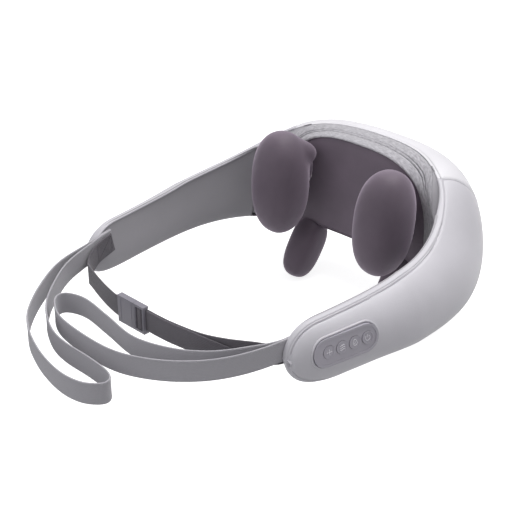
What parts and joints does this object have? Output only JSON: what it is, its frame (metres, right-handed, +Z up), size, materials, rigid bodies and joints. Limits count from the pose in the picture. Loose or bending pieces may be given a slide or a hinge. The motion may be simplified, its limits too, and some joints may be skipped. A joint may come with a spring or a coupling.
{
  "type": "neck and shoulder massager",
  "caption": "Cordless kneading massager worn round the neck: padded U-shaped band with rocking palms and thumbs, hand loops, a buckled front strap and a control pod.",
  "frame": {"origin": "middle of the wearer's neck, on the plane of symmetry of the band", "axes": "+Z up when worn, the wearer looks along -Y, +X is the wearer's left, where the buttons are; the back of the band lies towards +Y"},
  "size_m": [0.331, 0.4587, 0.1598],
  "materials": {
    "leather_light": "soft matte grain",
    "leather_grey": "soft matte grain",
    "lining_grey": "smooth matte",
    "knit_grey": "heathered knit",
    "stretch_mauve": "fine stretch weave",
    "webbing_grey": "ribbed webbing",
    "elastic_dark": "woven elastic",
    "buckle_dark": "fine moulded texture",
    "pod_grey": "satin",
    "frame_white": "moulded",
    "foam": "open-cell foam",
    "steel": "plain",
    "brass": "machined",
    "board_green": "solder mask",
    "cell_wrap": "shrink wrap",
    "film_amber": "film"
  },
  "bodies": {
    "band": {"arm_core_left": "foam", "arm_core_right": "foam", "arm_spring_left": "steel", "arm_spring_right": "steel", "battery_pack": "cell_wrap", "bottom_cover": "stretch_mauve", "buckle_socket": "buckle_dark", "button_board": "board_green", "charging_port": "buckle_dark", "control_pod": "pod_grey", "edge_piping_left": "leather_grey", "edge_piping_right": "leather_grey", "elastic_strap_left": "elastic_dark", "elastic_strap_right": "elastic_dark", "gear_case_inner_left": "frame_white", "gear_case_inner_right": "frame_white", "gear_case_outer_left": "frame_white", "gear_case_outer_right": "frame_white", "hand_loop_left": "webbing_grey", "hand_loop_right": "webbing_grey", "inner_cover": "stretch_mauve", "inner_lining_left": "lining_grey", "inner_lining_right": "lining_grey", "knit_gusset_inner": "knit_grey", "knit_gusset_outer": "knit_grey", "main_board": "board_green", "motor_left": "steel", "motor_right": "steel", "outer_cover_centre": "leather_light", "outer_cover_left": "leather_grey", "outer_cover_right": "leather_grey", "palm_pin_left": "steel", "palm_pin_right": "steel", "rear_frame": "frame_white", "thumb_pin_left": "steel", "thumb_pin_right": "steel", "wheel_bush_left": "brass", "wheel_bush_right": "brass", "zip_chain": "elastic_dark", "zip_slider": "buckle_dark"},
    "left_wheel": {"worm_wheel_left": "brass"},
    "left_worm": {"worm_left": "steel"},
    "left_palm": {"palm_arm_left": "frame_white", "palm_lobe_left": "stretch_mauve", "heater_film_left": "film_amber"},
    "left_thumb": {"thumb_arm_left": "frame_white", "thumb_lobe_left": "stretch_mauve"},
    "right_wheel": {"worm_wheel_right": "brass"},
    "right_worm": {"worm_right": "steel"},
    "right_palm": {"palm_arm_right": "frame_white", "palm_lobe_right": "stretch_mauve", "heater_film_right": "film_amber"},
    "right_thumb": {"thumb_arm_right": "frame_white", "thumb_lobe_right": "stretch_mauve"},
    "plus_button": {"button_plus": "pod_grey"},
    "mode_button": {"button_mode": "pod_grey"},
    "heat_button": {"button_heat": "pod_grey"},
    "power_button": {"button_power": "pod_grey"},
    "clip": {"buckle_clip": "buckle_dark"},
    "pull": {"zip_pull": "buckle_dark"}
  },
  "joints": [
    {"name": "left_wheel_spin", "type": "hinge", "parent": "band", "child": "left_wheel", "pos_m": [0.066, 0.088, -0.002], "axis": [1, 0, 0], "continuous": true},
    {"name": "left_worm_spin", "type": "hinge", "parent": "band", "child": "left_worm", "pos_m": [0.066, 0.088, 0.016], "axis": [0, 1, 0], "continuous": true},
    {"name": "left_palm_rock", "type": "hinge", "parent": "band", "child": "left_palm", "pos_m": [0.066, 0.076, 0.02], "axis": [1, 0, 0], "range_deg": [-6, 6]},
    {"name": "left_thumb_rock", "type": "hinge", "parent": "band", "child": "left_thumb", "pos_m": [0.066, 0.0745, -0.018], "axis": [1, 0, 0], "range_deg": [-6, 6]},
    {"name": "right_wheel_spin", "type": "hinge", "parent": "band", "child": "right_wheel", "pos_m": [-0.066, 0.088, -0.002], "axis": [1, 0, 0], "continuous": true},
    {"name": "right_worm_spin", "type": "hinge", "parent": "band", "child": "right_worm", "pos_m": [-0.066, 0.088, 0.016], "axis": [0, 1, 0], "continuous": true},
    {"name": "right_palm_rock", "type": "hinge", "parent": "band", "child": "right_palm", "pos_m": [-0.066, 0.076, 0.02], "axis": [1, 0, 0], "range_deg": [-6, 6]},
    {"name": "right_thumb_rock", "type": "hinge", "parent": "band", "child": "right_thumb", "pos_m": [-0.066, 0.0745, -0.018], "axis": [1, 0, 0], "range_deg": [-6, 6]},
    {"name": "plus_press", "type": "slide", "parent": "band", "child": "plus_button", "axis": [-0.9604, 0.2262, -0.1629], "range_m": [0, 0.0005], "stiffness_N_per_m": 800},
    {"name": "mode_press", "type": "slide", "parent": "band", "child": "mode_button", "axis": [-0.9604, 0.2262, -0.1629], "range_m": [0, 0.0005], "stiffness_N_per_m": 800},
    {"name": "heat_press", "type": "slide", "parent": "band", "child": "heat_button", "axis": [-0.9604, 0.2262, -0.1629], "range_m": [0, 0.0005], "stiffness_N_per_m": 800},
    {"name": "power_press", "type": "slide", "parent": "band", "child": "power_button", "axis": [-0.9604, 0.2262, -0.1629], "range_m": [0, 0.0005], "stiffness_N_per_m": 800},
    {"name": "buckle_release", "type": "slide", "parent": "band", "child": "clip", "axis": [1, 0, 0], "range_m": [0, 0.014], "deforming": ["elastic_strap_left"]},
    {"name": "pull_swing", "type": "hinge", "parent": "band", "child": "pull", "pos_m": [0.10037, 0.04282, -0.00474], "axis": [-0.7943, 0.6076, 0], "range_deg": [0, 30]}
  ],
  "couplings": [
    {"joint": "left_worm_spin", "follows": "left_wheel_spin", "ratio": -20},
    {"joint": "left_thumb_rock", "follows": "left_palm_rock", "ratio": -1},
    {"joint": "right_worm_spin", "follows": "right_wheel_spin", "ratio": 20},
    {"joint": "right_thumb_rock", "follows": "right_palm_rock", "ratio": -1}
  ]
}
